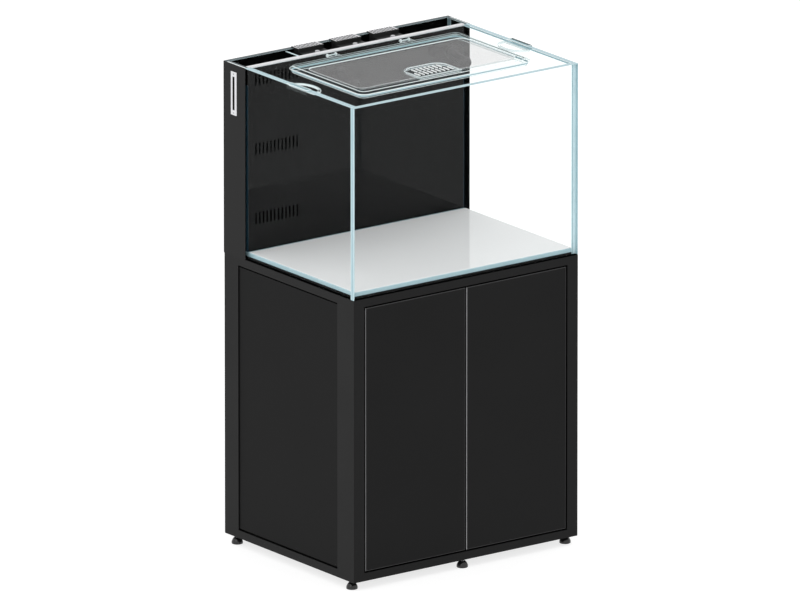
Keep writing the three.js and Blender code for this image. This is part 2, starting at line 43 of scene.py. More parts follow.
# ---------------------------------------------------------------- sizes of the object, millimetres
# tank and stand
HALF = 300
FRONT = -235.5
BACK = FRONT + 470
GLASS = 10
INNER = HALF - GLASS
DECK_TOP = 652
RIM = DECK_TOP + 429
MAT_TOP = DECK_TOP + 5
BOTTOM_PANE = (MAT_TOP, MAT_TOP + GLASS)
FLOOR_TOP = BOTTOM_PANE[1] + 1
POST_WIDTH = 28
FRAME_OPENING = (38, 634)
DOOR_GAP = 3.5
DOOR_LEVELS = (FRAME_OPENING[0] + DOOR_GAP, FRAME_OPENING[1] - DOOR_GAP)
DOOR_REACH = (DOOR_GAP / 2, HALF - POST_WIDTH - DOOR_GAP)
DOOR_THICKNESS = 18
CORNER_FOOT = HALF - POST_WIDTH / 2
FOOT_PLACES = {
    "front_left": (-CORNER_FOOT, FRONT + 26),
    "front_centre": (0, FRONT + 13.5),
    "front_right": (CORNER_FOOT, FRONT + 26),
    "rear_left": (-CORNER_FOOT, BACK - 26),
    "rear_centre": (0, BACK - 13.5),
    "rear_right": (CORNER_FOOT, BACK - 26),
}

# painted highlights on the glass edges, and the painted teal cast on the partition's ends: how far from the
# middle, or how deep from the outside, they reach
WHITE_HIGHLIGHT_STRIP = 3
PALE_HIGHLIGHT_STRIP = 6.4
TINTED_END = INNER - 1
TINT_TOP = 1039

# rear chamber
PARTITION = (BACK - 72, BACK - 64)
RAIL_FRONT = PARTITION[0] - 3
DIVIDER_HIGHLIGHT_STRIP = (-144.2, -140.8, 171.5, 224)
SIGHT_Y = BACK - 37
SIGHT_TOP = RIM - 16.5
SIGHT_HEIGHT = 97
SIGHT_FACE = -HALF - 2
SCREW_INSET = 5.2
BASKET_LEFTS = {"left": -123, "middle": -22, "right": 79}
BASKET_WIDTH = 66
GRID_Y = (BACK - 30.5, BACK - 3)
GRID_BARS = 10
GRID_START = 1.8
GRID_PITCH = 6.6
BAR_WIDTH = 1.7
KNOB_Y = BACK - 53.5

# cover, hatch and feed flap
COVER_LOW = RIM - 4
HATCH = (-230, 230, -170, 106)
HATCH_CORNER = 20
HATCH_TOP = RIM + 7.5
HATCH_LAP = 4.8
PANEL = (-208, 208, -136, 57)
PANEL_CORNER = 14
PANEL_Z = (RIM + 2, RIM + 4.5)
FLAP_HALF = 51
FLAP_Y = (-140, -70)
FLAP_CORNER = 26
BEZEL = 5
RIB_COUNT = 9
RIB_PITCH = 11
HINGE_X = 98
HINGE_Y = 119
HINGE_Z = RIM + 5
ARM_SPREAD = 11
ARM_WIDTH = 3

# cover clips
CLIP_MIDDLE = -31
CLIP_REACH = 49
CLIP_HALF_LENGTH = 46
CLIP_BAR_HALF = 36
CLIP_LOW = COVER_LOW - 4.2
CLIP_OVERHANG = HALF + 2.2

# ---------------------------------------------------------------- camera
AZIMUTH = math.radians(36.48)
ELEVATION = math.radians(16.33)
DISTANCE = 58.265
LENS = 1215.9
AIM = Vector((0, 0, 0.540))
AIM_LEFT = 0.0022
AIM_UP = 0.0069


def make_camera():
    forward = Vector((
        math.sin(AZIMUTH) * math.cos(ELEVATION),
        math.cos(AZIMUTH) * math.cos(ELEVATION),
        -math.sin(ELEVATION),
    ))
    right = Vector((math.cos(AZIMUTH), -math.sin(AZIMUTH), 0))
    up = right.cross(forward)
    aim = AIM - right * AIM_LEFT + up * AIM_UP
    data = bpy.data.cameras.new("camera")
    data.lens = LENS
    data.sensor_width = 36
    data.clip_start = 1
    data.clip_end = 300
    camera = bpy.data.objects.new("camera", data)
    bpy.context.scene.collection.objects.link(camera)
    rotation = Matrix((right, up, -forward)).transposed()
    camera.matrix_world = Matrix.Translation(aim - forward * DISTANCE) @ rotation.to_4x4()
    bpy.context.scene.camera = camera


make_camera()
bpy.context.scene.view_settings.view_transform = "Standard"


# ---------------------------------------------------------------- materials
NOISE_LOW, NOISE_HIGH = 0.3, 0.7  # nearly all of a noise texture's values lie between these
BUMP_DEPTH = 0.0002
CLOUD_SCALE = 9.0
CLEAR_BODY_DRIFT = 0.96
OPACITY_DRIFT = 0.03


def new_material(name):
    mat = bpy.data.materials.new(name)
    mat.use_nodes = True
    nt = mat.node_tree
    nt.nodes.clear()
    out = nt.nodes.new("ShaderNodeOutputMaterial")
    return mat, nt, out


def node(nt, kind, **values):
    made = nt.nodes.new(kind)
    for key, value in values.items():
        setattr(made, key, value)
    return made


def noise(nt, scale, detail):
    coords = node(nt, "ShaderNodeTexCoord")
    made = node(nt, "ShaderNodeTexNoise")
    made.inputs["Scale"].default_value = scale
    made.inputs["Detail"].default_value = detail
    nt.links.new(coords.outputs["Object"], made.inputs["Vector"])
    return made.outputs["Fac"]


def ranged(nt, value, low, high):
    made = node(nt, "ShaderNodeMapRange")
    made.inputs["From Min"].default_value = NOISE_LOW
    made.inputs["From Max"].default_value = NOISE_HIGH
    made.inputs["To Min"].default_value = low
    made.inputs["To Max"].default_value = high
    nt.links.new(value, made.inputs["Value"])
    return made.outputs["Result"]


def blended(nt, value, first, second):
    made = node(nt, "ShaderNodeMix", data_type="RGBA")
    nt.links.new(value, made.inputs["Factor"])
    made.inputs[6].default_value = (*first, 1)
    made.inputs[7].default_value = (*second, 1)
    return made.outputs[2]


def solid_material(name, first, second, rough, grain, bump=0.0, bump_scale=500, specular=0.5,
                   metallic=0.0):
    """Paint, board, plastic or metal: colour and roughness drift over the surface, with a fine bump."""
    mat, nt, out = new_material(name)
    shader = node(nt, "ShaderNodeBsdfPrincipled")
    drift = noise(nt, grain, 4.0)
    nt.links.new(blended(nt, ranged(nt, drift, 0, 1), first, second), shader.inputs["Base Color"])
    nt.links.new(ranged(nt, drift, rough[0], rough[1]), shader.inputs["Roughness"])
    shader.inputs["Specular IOR Level"].default_value = specular
    shader.inputs["Metallic"].default_value = metallic
    if bump:
        made = node(nt, "ShaderNodeBump")
        made.inputs["Strength"].default_value = bump
        made.inputs["Distance"].default_value = BUMP_DEPTH
        nt.links.new(noise(nt, bump_scale, 2.0), made.inputs["Height"])
        nt.links.new(made.outputs["Normal"], shader.inputs["Normal"])
    nt.links.new(shader.outputs["BSDF"], out.inputs["Surface"])
    return mat


def clear_material(name, tint, body, opacity, rough, specular=0.5):
    """A thin clear wall: part see-through, part a glossy body of its own. Opacity drifts a little."""
    mat, nt, out = new_material(name)
    clear = node(nt, "ShaderNodeBsdfTransparent")
    clear.inputs["Color"].default_value = (*tint, 1)
    shader = node(nt, "ShaderNodeBsdfPrincipled")
    cloud = noise(nt, CLOUD_SCALE, 2.0)
    low = tuple(c * CLEAR_BODY_DRIFT for c in body)
    nt.links.new(blended(nt, ranged(nt, cloud, 0, 1), low, body), shader.inputs["Base Color"])
    shader.inputs["Roughness"].default_value = rough
    shader.inputs["Specular IOR Level"].default_value = specular
    mix = node(nt, "ShaderNodeMixShader")
    thin, thick = opacity * (1 - OPACITY_DRIFT), opacity * (1 + OPACITY_DRIFT)
    nt.links.new(ranged(nt, cloud, thin, thick), mix.inputs["Fac"])
    nt.links.new(clear.outputs["BSDF"], mix.inputs[1])
    nt.links.new(shader.outputs["BSDF"], mix.inputs[2])
    nt.links.new(mix.outputs["Shader"], out.inputs["Surface"])
    return mat


def edge_tone(name, first, second, rough=(0.12, 0.2), specular=0.5):
    """One of the tones of a ground glass edge: glass_edge is its own teal, the lighter tones are painted
    highlights and the darkest is painted shade.
    """
    return solid_material(name, first, second, rough, 25, 0.04, 500, specular)


def grey(level):
    return (level, level, level * 1.03)


def gloss_acrylic(name):
    return solid_material(name, grey(0.0024), grey(0.0036), (0.05, 0.09), 5, 0.02, 60, 0.17)


FRAME_PAINT = solid_material("frame_paint", grey(0.003), grey(0.0042), (0.42, 0.5), 6, 0.25, 2600, 0.15)
# Painted highlight for the frames' rounded edges.
FRAME_EDGE_HIGHLIGHT = solid_material("frame_edge_highlight", grey(0.022), grey(0.03), (0.35, 0.42), 8, 0.1, 1800, 0.4)
BOARD = solid_material("black_board", grey(0.0018), grey(0.0027), (0.38, 0.46), 4, 0.15, 1800, 0.08)
# Painted highlight for the rounded edges of the side panels and doors.
BOARD_EDGE_HIGHLIGHT = solid_material("board_edge_highlight", grey(0.026), grey(0.034), (0.35, 0.42), 8, 0.1, 1800, 0.3)
DOOR = solid_material("door_lacquer", grey(0.0031), grey(0.0041), (0.34, 0.4), 5, 0.1, 1500, 0.12)
# Painted highlights on the doors' left-facing edges; the glint is the brighter one, used on the right door.
DOOR_EDGE_HIGHLIGHT = solid_material("door_edge_highlight", grey(0.16), grey(0.2), (0.28, 0.36), 12, 0.1, 1500, 0.5)
DOOR_GLINT = solid_material("door_glint", grey(0.32), grey(0.38), (0.28, 0.36), 12, 0.1, 1500, 0.5)
GAP_BLACK = solid_material("gap_black", grey(0.002), grey(0.004), (0.6, 0.7), 20, 0.1, 900, 0.05)
GLOSS_BLACK = gloss_acrylic("gloss_acrylic")
SKIN_BLACK = solid_material("black_skin", grey(0.003), grey(0.0042), (0.34, 0.4), 5, 0.06, 900, 0.14)
MATT_BLACK = solid_material("matt_plastic", grey(0.008), grey(0.014), (0.45, 0.58), 30, 0.3, 2400, 0.3)
MAT_FOAM = solid_material("mat_foam", grey(0.016), grey(0.024), (0.85, 0.95), 80, 0.6, 1600, 0.05)
WHITE_GLOSS = solid_material("white_gloss", (0.83, 0.83, 0.835), (0.86, 0.86, 0.865), (0.03, 0.06), 4,
                             0.02, 40, 0.08)
WHITE_PLASTIC = solid_material("white_plastic", grey(0.62), grey(0.68), (0.25, 0.35), 20, 0.1, 1500, 0.4)
GRID_GREY = solid_material("grid_grey", grey(0.42), grey(0.52), (0.3, 0.4), 60, 0.15, 1500, 0.5)
SCREW_STEEL = solid_material("screw_steel", grey(0.3), grey(0.4), (0.25, 0.35), 60, 0.1, 900, 0.5, 1.0)
STEM_STEEL = solid_material("stem_steel", grey(0.5), grey(0.62), (0.22, 0.34), 60, 0.1, 900, 0.5, 1.0)
GREY_PLASTIC = solid_material("grey_plastic", grey(0.3), grey(0.36), (0.4, 0.5), 30, 0.2, 1800, 0.4)
FOAM = solid_material("filter_foam", grey(0.03), grey(0.09), (0.9, 1.0), 300, 1.0, 700, 0.1)
GLASS_EDGE = edge_tone("glass_edge", (0.32, 0.475, 0.525), (0.355, 0.515, 0.565))
GLASS_GLINT = edge_tone("glass_glint", (0.58, 0.74, 0.77), (0.63, 0.79, 0.82), rough=(0.1, 0.15))
# Painted highlights on glass edges: a white line on the side panes' outer top edges over the rear chamber,
# and a pale strip on the outer part of their front ends.
GLASS_WHITE_HIGHLIGHT = edge_tone("glass_white_highlight", (0.84, 0.92, 0.93), (0.88, 0.95, 0.96))
GLASS_PALE_HIGHLIGHT = edge_tone("glass_pale_highlight", (0.62, 0.78, 0.82), (0.66, 0.82, 0.86))
# Painted shade on glass edges: the tops over the rear chamber and the bottom pane's lower edges.
GLASS_SHADED_EDGE = edge_tone("glass_shaded_edge", (0.02, 0.045, 0.055), (0.03, 0.06, 0.07), specular=0.12)
GLASS_FACE = clear_material("glass_face", (0.994, 0.999, 0.998), (0.85, 0.93, 0.93), 0.0008, 0.03)
PLASTIC_WALL = clear_material("plastic_wall", (0.97, 0.985, 0.985), (0.55, 0.62, 0.63), 0.03, 0.06)
PLASTIC_EDGE = clear_material("plastic_edge", (0.9, 0.95, 0.96), (0.86, 0.93, 0.94), 0.8, 0.12)
PLASTIC_DARK = clear_material("plastic_shadow", (0.55, 0.6, 0.61), (0.02, 0.03, 0.03), 0.5, 0.1)
FROSTED = clear_material("frosted_panel", (0.93, 0.93, 0.93), (0.57, 0.57, 0.575), 0.18, 0.4, 0.1)
RIB_CLEAR = clear_material("rib_clear", (0.95, 0.97, 0.97), (0.9, 0.92, 0.92), 0.82, 0.15)
FOOT_BLACK = solid_material("foot_black", grey(0.004), grey(0.007), (0.14, 0.22), 30, 0.05, 1800, 0.5)
GRID_BRIGHT = solid_material("grid_bright", grey(0.8), grey(0.88), (0.25, 0.35), 60, 0.15, 1500, 0.5)


def tint_ends(mat, x, z, colour):
    """Gives the material another colour past x on both sides and below z, on the end faces lying against
    glass: a painted teal cast, standing in for light seen through the side glass.
    """
    nt = mat.node_tree
    place = node(nt, "ShaderNodeNewGeometry")
    split = node(nt, "ShaderNodeSeparateXYZ")
    nt.links.new(place.outputs["Position"], split.inputs[0])
    size = node(nt, "ShaderNodeMath", operation="ABSOLUTE")
    ends = node(nt, "ShaderNodeMath", operation="GREATER_THAN")
    low = node(nt, "ShaderNodeMath", operation="LESS_THAN")
    both = node(nt, "ShaderNodeMath", operation="MULTIPLY")
    ends.inputs[1].default_value = x * MM
    low.inputs[1].default_value = z * MM
    nt.links.new(split.outputs["X"], size.inputs[0])
    nt.links.new(size.outputs[0], ends.inputs[0])
    nt.links.new(split.outputs["Z"], low.inputs[0])
    nt.links.new(ends.outputs[0], both.inputs[0])
    nt.links.new(low.outputs[0], both.inputs[1])
    shader = nt.nodes["Principled BSDF"]
    mix = node(nt, "ShaderNodeMix", data_type="RGBA")
    nt.links.new(both.outputs[0], mix.inputs["Factor"])
    nt.links.new(shader.inputs["Base Color"].links[0].from_socket, mix.inputs[6])
    mix.inputs[7].default_value = (*colour, 1)
    nt.links.new(mix.outputs[2], shader.inputs["Base Color"])


def repaint(name, *mats):
    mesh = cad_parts[name].data
    mesh.materials.clear()
    for mat in mats:
        mesh.materials.append(mat)


def soften(name, width, edge_slot=None, angle=30):
    """Rounds a CAD node's edges. The new faces can take the node's second material."""
    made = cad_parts[name].modifiers.new("soften", "BEVEL")
    made.width = width * MM
    made.segments = 2
    made.limit_method = "ANGLE"
    made.angle_limit = math.radians(angle)
    if edge_slot is not None:
        made.material = edge_slot


# ---------------------------------------------------------------- mesh building
CORNER_STEPS = 6
SHARP_ANGLE = 35
LARGE_FACE = 60e-6  # square metres: bigger faces are flat shaded, so edge rounding does not tilt them


def outline(x0, x1, y0, y1, r):
    """A rounded rectangle, the same number of points whatever its corner radius."""
    r = max(r, 0.0)
    points = []
    corners = ((x1 - r, y0 + r, -90), (x1 - r, y1 - r, 0), (x0 + r, y1 - r, 90), (x0 + r, y0 + r, 180))
    for cx, cy, start in corners:
        for i in range(CORNER_STEPS + 1):
            angle = math.radians(start + 90 * i / CORNER_STEPS)
            points.append((cx + r * math.cos(angle), cy + r * math.sin(angle)))
    return points


def inset(rect, corner, by):
    x0, x1, y0, y1 = rect
    return outline(x0 + by, x1 - by, y0 + by, y1 - by, corner - by)


def mesh_from(name, points, faces, slots, mats):
    mesh = bpy.data.meshes.new(name)
    mesh.from_pydata([Vector(p) * MM for p in points], [], faces)
    for polygon, slot in zip(mesh.polygons, slots):
        polygon.material_index = slot
    for mat in mats:
        mesh.materials.append(mat)
    bm = bmesh.new()
    bm.from_mesh(mesh)
    bmesh.ops.remove_doubles(bm, verts=bm.verts, dist=1e-6)
    bmesh.ops.dissolve_degenerate(bm, edges=bm.edges, dist=1e-7)
    bmesh.ops.recalc_face_normals(bm, faces=bm.faces)
    bm.to_mesh(mesh)
    bm.free()
    mesh.set_sharp_from_angle(angle=math.radians(SHARP_ANGLE))
    mesh.polygons.foreach_set("use_smooth", [p.area < LARGE_FACE for p in mesh.polygons])
    made = bpy.data.objects.new(name, mesh)
    bpy.context.scene.collection.objects.link(made)
    return made


def loft(name, rings, slots, mats, closed=False, caps=(0, 0)):
    """Rings of equal point counts joined in turn. slots[i] is the material of the band after ring i."""
    count = len(rings[0])
    points = [p for ring in rings for p in ring]
    faces = []
    used = []
    bands = len(rings) if closed else len(rings) - 1
    for i in range(bands):
        a = i * count
        b = ((i + 1) % len(rings)) * count
        for j in range(count):
            k = (j + 1) % count
            faces.append((a + j, a + k, b + k, b + j))
            used.append(slots[i])
    if not closed:
        faces.append(tuple(reversed(range(count))))
        used.append(caps[0])
        last = (len(rings) - 1) * count
        faces.append(tuple(range(last, last + count)))
        used.append(caps[1])
    return mesh_from(name, points, faces, used, mats)


AXES = {
    "Z": lambda u, v, w: (u, v, w),
    "Y": lambda u, v, w: (u, w, v),
    "X": lambda u, v, w: (w, u, v),
}
ROUND_STEPS = ((1.0, 0.0), (0.5, 0.134), (0.134, 0.5), (0.0, 1.0))
SIDE_BANDS = [2, 2, 2, 1, 2, 2, 2]  # rounding, side, rounding


def rounded_levels(low, high, bevel):
    """How far in, and at what height, each ring of a slab with rounded edges lies."""
    levels = [(bevel * i, low + bevel * d) for i, d in ROUND_STEPS]
    return levels + [(bevel * i, high - bevel * d) for i, d in reversed(ROUND_STEPS)]


def plate(name, rect, low, high, corner, bevel, mats, axis="Z"):
    """A rounded slab. mats are those of its two faces, its sides and its rounded edges."""
    turn = AXES[axis]
    rings = []
    for by, level in rounded_levels(low, high, bevel):
        rings.append([turn(u, v, level) for u, v in inset(rect, corner, by)])
    return loft(name, rings, SIDE_BANDS, mats)


def ring_plate(name, outer, inner, low, high, bevel, mats):
    """A flat ring between two outlines, given as functions of how far they are pulled in."""
    levels = rounded_levels(low, high, bevel)
    rings = [[(u, v, level) for u, v in outer(by)] for by, level in levels]
    rings += [[(u, v, level) for u, v in inner(-by)] for by, level in reversed(levels)]
    return loft(name, rings, (SIDE_BANDS + [0]) * 2, mats, closed=True)


def turned(name, profile, centre, mats, slots=None, steps=32, axis="Z"):
    """A solid of revolution. The profile is (radius, height) pairs."""
    turn = AXES[axis]
    cx, cy, cz = centre
    rings = []
    for radius, height in profile:
        ring = []
        for i in range(steps):
            angle = 2 * math.pi * i / steps
            dx, dy, dz = turn(radius * math.cos(angle), radius * math.sin(angle), height)
            ring.append((cx + dx, cy + dy, cz + dz))
        rings.append(ring)
    return loft(name, rings, slots or [0] * len(profile), mats)


def keep(piece, body, slot, *nodes):
    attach(piece, body)
    if nodes:
        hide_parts(*nodes)


def joined(name, parts):
    """Several meshes made into one piece. They keep their materials."""
    target = parts[0]
    bm = bmesh.new()
    mats = []
    for part in parts:
        offset = {}
        for i, mat in enumerate(part.data.materials):
            if mat not in mats:
                mats.append(mat)
            offset[i] = mats.index(mat)
        part.data.polygons.foreach_set(
            "material_index", [offset[p.material_index] for p in part.data.polygons]
        )
        bm.from_mesh(part.data)
    mesh = bpy.data.meshes.new(name)
    bm.to_mesh(mesh)
    bm.free()
    for mat in mats:
        mesh.materials.append(mat)
    target.data = mesh
    target.name = name
    for part in parts[1:]:
        bpy.data.objects.remove(part)
    return target


# ---------------------------------------------------------------- stand
def dress_stand():
    posts = [f"post_{end}_{side}" for end in ("front", "rear") for side in ("left", "right")]
    frames = posts + ["top_frame", "base_frame"]
    # The rounded edges of the frames and side panels take a lighter tone: a painted highlight.
    for name in frames:
        repaint(name, FRAME_PAINT, FRAME_EDGE_HIGHLIGHT)
        soften(name, 0.8, 1)
    for name in ("side_panel_left", "side_panel_right"):
        repaint(name, BOARD, BOARD_EDGE_HIGHLIGHT)
        soften(name, 0.9, 1)
    for name in ("deck_board", "cabinet_floor", "back_panel"):
        repaint(name, BOARD)
        soften(name, 0.5)
    for side in ("left", "right"):
        for end in ("top", "bottom"):
            repaint(f"door_pin_{side}_{end}", GAP_BLACK)
        repaint(f"door_latch_{side}", GREY_PLASTIC)
        soften(f"door_latch_{side}", 0.8)


def make_doors():
    low, high = DOOR_LEVELS
    for side, sign in (("left", -1), ("right", 1)):
        inner, outer = DOOR_REACH
        x0, x1 = (inner, outer) if sign > 0 else (-outer, -inner)
        leaf = plate(f"door_leaf_{side}", (x0, x1, low, high), FRONT, FRONT + DOOR_THICKNESS, 0.8, 1.5,
                     [DOOR, DOOR, BOARD_EDGE_HIGHLIGHT], "Y")
        # Painted highlight on each door's left-facing rounded edges, brighter on the right door.
        recolour(leaf, lambda c, n: n.x < -0.3 and n.y < -0.1, DOOR_GLINT if sign > 0 else DOOR_EDGE_HIGHLIGHT)
        keep(leaf, f"door_{side}", "door_black", f"door_{side}")


PAD_PROFILE = [(0.2, 0), (11.2, 0), (12.2, 0.5), (12.5, 1.4), (12.5, 4.4), (12.1, 6), (11, 8.6),
               (9.4, 11.4), (7.6, 13.4), (6.4, 14.4), (4.2, 14.6)]
THREAD_PROFILE = [(3.6, 14.8), (3.95, 15.1), (3.6, 15.7), (3.95, 16.2), (3.6, 16.8), (3.95, 17.4),
                  (3.6, 18), (3.95, 18.6), (3.6, 19.2), (3.95, 19.8)]
SHANK_PROFILE = [(3.9, 34.5), (3, 35.5), (0.2, 35.5)]


def make_feet():
    stem = THREAD_PROFILE + SHANK_PROFILE
    slots = [0] * (len(PAD_PROFILE) - 1) + [1] * (len(stem) + 1)
    for place, (x, y) in FOOT_PLACES.items():
        foot = turned(f"levelling_foot_{place}", PAD_PROFILE + stem, (x, y, 0), [FOOT_BLACK, STEM_STEEL],
                      slots)
        keep(foot, f"foot_{place}", "black_plastic", f"foot_{place}")


# ---------------------------------------------------------------- tank
def recolour(piece, test, mat):
    """Gives mat to each face of the piece whose centre and normal pass the test, in millimetres."""
    mesh = piece.data
    mesh.materials.append(mat)
    slot = len(mesh.materials) - 1
    for polygon in mesh.polygons:
        if test(polygon.center / MM, polygon.normal):
            polygon.material_index = slot


def cut_across(piece, value, along=(0, 1, 0)):
    """Adds an edge loop where the piece crosses a plane, so that each side can have its own tone."""
    bm = bmesh.new()
    bm.from_mesh(piece.data)
    everything = bm.verts[:] + bm.edges[:] + bm.faces[:]
    bmesh.ops.bisect_plane(bm, geom=everything, plane_co=Vector(along) * value * MM, plane_no=along)
    bm.to_mesh(piece.data)
    bm.free()


def make_panes():
    y0, y1 = FRONT + GLASS, BACK - GLASS
    mats = [GLASS_FACE, GLASS_EDGE, GLASS_GLINT]
    panes = {
        "front": ((-HALF, HALF, DECK_TOP, RIM), FRONT, y0, "Y"),
        "back": ((-HALF, HALF, DECK_TOP, RIM), y1, BACK, "Y"),
        "left": ((y0, y1, DECK_TOP, RIM), -HALF, -INNER, "X"),
        "right": ((y0, y1, DECK_TOP, RIM), INNER, HALF, "X"),
        "bottom": ((-INNER, INNER, y0, y1), BOTTOM_PANE[0], BOTTOM_PANE[1], "Z"),
    }
    for name, (rect, low, high, axis) in panes.items():
        pane = plate(f"glass_{name}", rect, low, high, 0.5, 0.9, mats, axis)
        recolour(pane, lambda c, n: n.z > 0.3, GLASS_EDGE)
        if name in ("left", "right"):
            cut_across(pane, RAIL_FRONT)
            for sign in (-1, 1):
                cut_across(pane, sign * (HALF - WHITE_HIGHLIGHT_STRIP), (1, 0, 0))
                cut_across(pane, sign * (HALF - PALE_HIGHLIGHT_STRIP), (1, 0, 0))
            # Painted shade and highlights on the side panes' edges: dark tops over the rear chamber, a white
            # line on their outer top edges there, and a pale strip on the outer part of their front ends.
            recolour(pane, lambda c, n: c.y > RAIL_FRONT and n.z > 0.3, GLASS_SHADED_EDGE)
            white_highlight = lambda c, n: c.y > RAIL_FRONT and n.z > 0.3 and abs(c.x) > HALF - WHITE_HIGHLIGHT_STRIP
            recolour(pane, white_highlight, GLASS_WHITE_HIGHLIGHT)
            recolour(pane, lambda c, n: abs(c.x) > HALF - PALE_HIGHLIGHT_STRIP and n.y < -0.3, GLASS_PALE_HIGHLIGHT)
        # Painted shade on the back pane's top edge.
        if name == "back":
            recolour(pane, lambda c, n: n.z > 0.3, GLASS_SHADED_EDGE)
        # Painted shade: the panes' bottom edges, down by the deck, are painted black.
        recolour(pane, lambda c, n: c.z < DECK_TOP + 1.5, GAP_BLACK)
        if name == "bottom":
            # Painted shade on the bottom pane's lower edges.
            recolour(pane, lambda c, n: c.z < BOTTOM_PANE[0] + 1.2, GLASS_SHADED_EDGE)
        keep(pane, "stand_and_tank", "clear_glass", f"pane_{name}")
    repaint("tank_mat", MAT_FOAM)
    soften("tank_mat", 0.8)
    edge = INNER - 0.5
    panel = plate("white_floor", (-edge, edge, y0 + 0.5, PARTITION[0] - 6), BOTTOM_PANE[1], FLOOR_TOP,
                  1.5, 0.3, [WHITE_GLOSS] * 3)
    keep(panel, "stand_and_tank", "white_gloss", "floor_panel")


def dress_chamber():
    black = gloss_acrylic("partition_acrylic")
    # Painted teal cast on the partition's ends, for light seen through the side glass.
    tint_ends(black, TINTED_END, TINT_TOP, (0.018, 0.05, 0.075))
    repaint("partition", black)
    soften("partition", 0.4, 0)
    repaint("divider_left", GLASS_FACE, GLASS_GLINT)
    soften("divider_left", 0.5, 1)
    repaint("divider_right", GLOSS_BLACK)
    soften("divider_right", 0.4)
    for side in ("left", "right", "back"):
        repaint(f"skin_{side}", SKIN_BLACK)
    repaint("sight_lens", GAP_BLACK)
    repaint("sight_bezel", WHITE_PLASTIC)
    soften("sight_bezel", 0.25)
    for name in ("pump_body", "return_pipe", "nozzle_left", "nozzle_right"):
        repaint(name, MATT_BLACK)
        soften(name, 0.5, None, 40)
    repaint("pump_impeller", WHITE_PLASTIC)
    for side in BASKET_LEFTS:
        repaint(f"media_basket_{side}", MATT_BLACK)
        repaint(f"media_block_{side}", FOAM)


SCREW_PROFILE = [(0.1, 0), (1.9, 0), (2.1, -0.25), (1.6, -0.5), (0.9, -0.5), (0.7, -0.3), (0.1, -0.3)]
KNOB_PROFILE = [(0.1, -5.8), (5.2, -5.8), (5.2, -1.6), (4.8, -0.9), (4, -0.6), (0.1, -0.6)]
EYE_PROFILE = [(0.1, 0), (3.4, 0), (4, 0.5), (4, 2.5), (3.4, 3), (0.1, 3)]
PIN_PROFILE = [(0.1, -10), (1.5, -10), (1.5, 10), (0.1, 10)]


def make_bezel_screws():
    """Two screws, let in a little at the ends of the sight window's bezel."""
    parts = []
    for z in (SIGHT_TOP - SCREW_INSET, SIGHT_TOP - SIGHT_HEIGHT + SCREW_INSET):
        centre = (SIGHT_FACE + 0.3, SIGHT_Y, z)
        parts.append(turned("screw", SCREW_PROFILE, centre, [SCREW_STEEL], None, 20, "X"))
    keep(joined("bezel_screws", parts), "stand_and_tank", "grey_plastic")


def make_divider_highlight():
    """A painted highlight: a bright strip on the left divider's top edge, a little past its left face."""
    strip = plate("divider_highlight", DIVIDER_HIGHLIGHT_STRIP, COVER_LOW - 0.6, COVER_LOW + 1, 0.4, 0.4, [GLASS_GLINT] * 3)
    keep(strip, "stand_and_tank", "clear_glass")


def make_basket_grids():
    """The slotted top and the knob of each basket."""
    y0, y1 = GRID_Y
    for side, x0 in BASKET_LEFTS.items():
        parts = []
        x1 = x0 + BASKET_WIDTH
        for i in range(GRID_BARS):
            a = x0 + GRID_START + i * GRID_PITCH
            parts.append(plate("bar", (a, a + BAR_WIDTH, y0 + 1.6, y1 - 1.2), RIM + 1.2, RIM + 3.2, 0.8, 0.5,
                               [GRID_BRIGHT] * 3))
        for a, b in ((y0 - 0.2, y0 + 2.2), (y1 - 2.2, y1 + 0.2)):
            parts.append(plate("edge", (x0 - 0.2, x1 + 0.2, a, b), RIM + 0.3, RIM + 2.8, 0.8, 0.5,
                               [MATT_BLACK] * 3))
        parts.append(plate("side", (x1 - 2.4, x1 + 0.2, y0, y1), RIM + 0.3, RIM + 3.0, 0.8, 0.5,
                           [GRID_GREY] * 3))
        parts.append(turned("knob", KNOB_PROFILE, (x0 + BASKET_WIDTH / 2, KNOB_Y, RIM), [GRID_GREY]))
        keep(joined(f"basket_grid_{side}", parts), f"basket_{side}", "black_plastic")


# ---------------------------------------------------------------- cover
def make_cover_plate():
    half_width = INNER - 3
    outer = lambda by: inset((-half_width, half_width, FRONT + GLASS + 1, RAIL_FRONT - 0.3), 1, by)
    inner = lambda by: inset(HATCH, HATCH_CORNER, HATCH_LAP + by)
    cover = ring_plate("glass_cover", outer, inner, COVER_LOW, RIM, 0.5,
                       [GLASS_FACE, GLASS_EDGE, GLASS_GLINT])
    recolour(cover, lambda c, n: c.y > RAIL_FRONT - 2 and n.y > 0.3, GLASS_FACE)
    keep(cover, "cover", "clear_glass", "cover_plate")
    edge = INNER - 0.5
    rail = plate("white_rail", (-edge, edge, RAIL_FRONT, PARTITION[1]), COVER_LOW, RIM, 0.6, 1.4,
                 [WHITE_PLASTIC] * 3)
    keep(rail, "stand_and_tank", "white_gloss", "rear_rail")


def arch(x, direction, reach, half_length, steps=36):
    """Half of a stretched ellipse with its straight side at x."""
    points = []
    for i in range(steps + 1):
        angle = -math.pi / 2 + math.pi * i / steps
        bulge = abs(math.cos(angle)) ** 0.75 if 0 < i < steps else 0
        points.append((x + direction * reach * bulge, CLIP_MIDDLE + half_length * math.sin(angle)))
    return points


